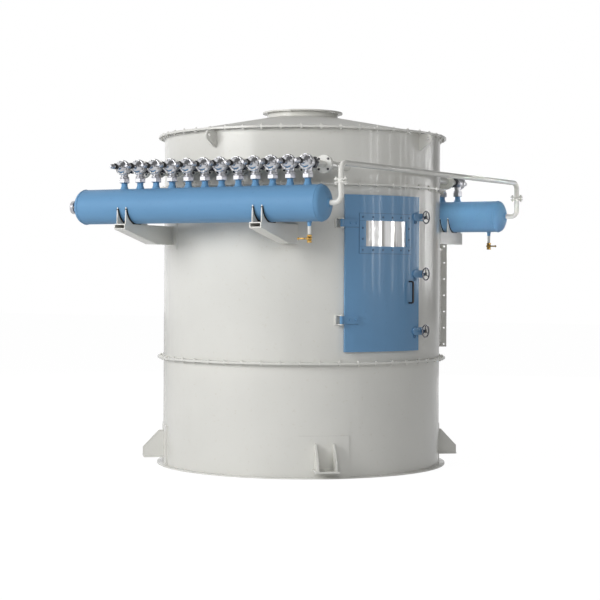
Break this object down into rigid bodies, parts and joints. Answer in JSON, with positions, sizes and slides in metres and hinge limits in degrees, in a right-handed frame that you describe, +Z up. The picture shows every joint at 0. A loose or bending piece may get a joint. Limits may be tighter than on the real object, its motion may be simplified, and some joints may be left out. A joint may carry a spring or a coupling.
{
  "type": "pulse jet dust collector",
  "caption": "Round steel pulse jet dust collector with cone roof, curved access door, tangential gas inlet and air tanks with rows of pulse valves.",
  "frame": {"origin": "centre of the base flange's underside, on the floor", "axes": "+Z up through the casing's axis, +X along the air tanks, -Y towards the front air tank"},
  "size_m": [2.721, 3.264, 2.918],
  "materials": {
    "casing_paint": "glossy ivory enamel",
    "tank_paint": "satin blue enamel",
    "door_paint": "satin blue enamel",
    "window": "clear sheet",
    "valve_metal": "die cast",
    "handwheel_chrome": "polished",
    "drain_brass": "bright",
    "liner_rubber": "matt",
    "handle_black": "satin black"
  },
  "bodies": {
    "casing": {"lower_wall_right": "casing_paint", "lower_wall_back": "casing_paint", "lower_wall_left": "casing_paint", "lower_wall_front": "casing_paint", "upper_wall_right": "casing_paint", "upper_wall_back": "casing_paint", "upper_wall_left": "casing_paint", "upper_wall_front": "casing_paint", "door_sill_wall": "casing_paint", "door_head_wall": "casing_paint", "inlet_sill_wall": "casing_paint", "inlet_head_wall": "casing_paint", "clean_air_wall_right": "casing_paint", "clean_air_wall_back": "casing_paint", "clean_air_wall_left": "casing_paint", "clean_air_wall_front": "casing_paint", "base_flange": "casing_paint", "middle_rim": "casing_paint", "tube_sheet_rim": "casing_paint", "top_rim": "casing_paint", "cone_roof": "casing_paint", "outlet_neck": "casing_paint", "outlet_flange": "casing_paint", "inlet_duct": "casing_paint", "inlet_flange": "casing_paint", "foot_pads": "casing_paint", "support_feet": "casing_paint", "lifting_lugs": "casing_paint", "door_seat": "casing_paint", "hinge_ears": "casing_paint", "clamp_catches": "casing_paint", "front_tank_brackets": "casing_paint", "rear_tank_brackets": "casing_paint", "front_blow_pipes": "casing_paint", "rear_blow_pipes": "casing_paint", "air_header_pipe": "casing_paint", "front_riser_pipe": "casing_paint", "rear_riser_pipe": "casing_paint", "front_air_tank": "tank_paint", "rear_air_tank": "tank_paint", "front_pulse_valves": "valve_metal", "rear_pulse_valves": "valve_metal", "tank_end_caps": "valve_metal", "drain_valves": "drain_brass", "saddle_liners": "liner_rubber"},
    "door": {"door_panel": "door_paint", "window_pane": "window", "window_frame": "door_paint", "hinge_straps": "door_paint", "clamp_arms": "door_paint", "door_handle": "handle_black", "door_gasket": "liner_rubber"},
    "wheel_low": {"handwheel_low": "handwheel_chrome"},
    "wheel_middle": {"handwheel_middle": "handwheel_chrome"},
    "wheel_high": {"handwheel_high": "handwheel_chrome"},
    "front_lever": {"front_drain_lever": "drain_brass"},
    "rear_lever": {"rear_drain_lever": "drain_brass"}
  },
  "joints": [
    {"name": "door_hinge", "type": "hinge", "parent": "casing", "child": "door", "pos_m": [0.81718, -0.88557, 1.588], "axis": [0, 0, -1], "range_deg": [0, 110]},
    {"name": "wheel_low_turn", "type": "hinge", "parent": "door", "child": "wheel_low", "pos_m": [1.21615, -0.19697, 1.121], "axis": [0.9871, -0.1599, 0], "continuous": true},
    {"name": "wheel_middle_turn", "type": "hinge", "parent": "door", "child": "wheel_middle", "pos_m": [1.21615, -0.19697, 1.572], "axis": [0.9871, -0.1599, 0], "continuous": true},
    {"name": "wheel_high_turn", "type": "hinge", "parent": "door", "child": "wheel_high", "pos_m": [1.21615, -0.19697, 2.02], "axis": [0.9871, -0.1599, 0], "continuous": true},
    {"name": "front_drain_turn", "type": "hinge", "parent": "casing", "child": "front_lever", "pos_m": [0.825, -1.467, 1.825], "axis": [0, 1, 0], "range_deg": [-90, 0]},
    {"name": "rear_drain_turn", "type": "hinge", "parent": "casing", "child": "rear_lever", "pos_m": [1.11, 1.407, 1.825], "axis": [0, 1, 0], "range_deg": [0, 90]}
  ]
}
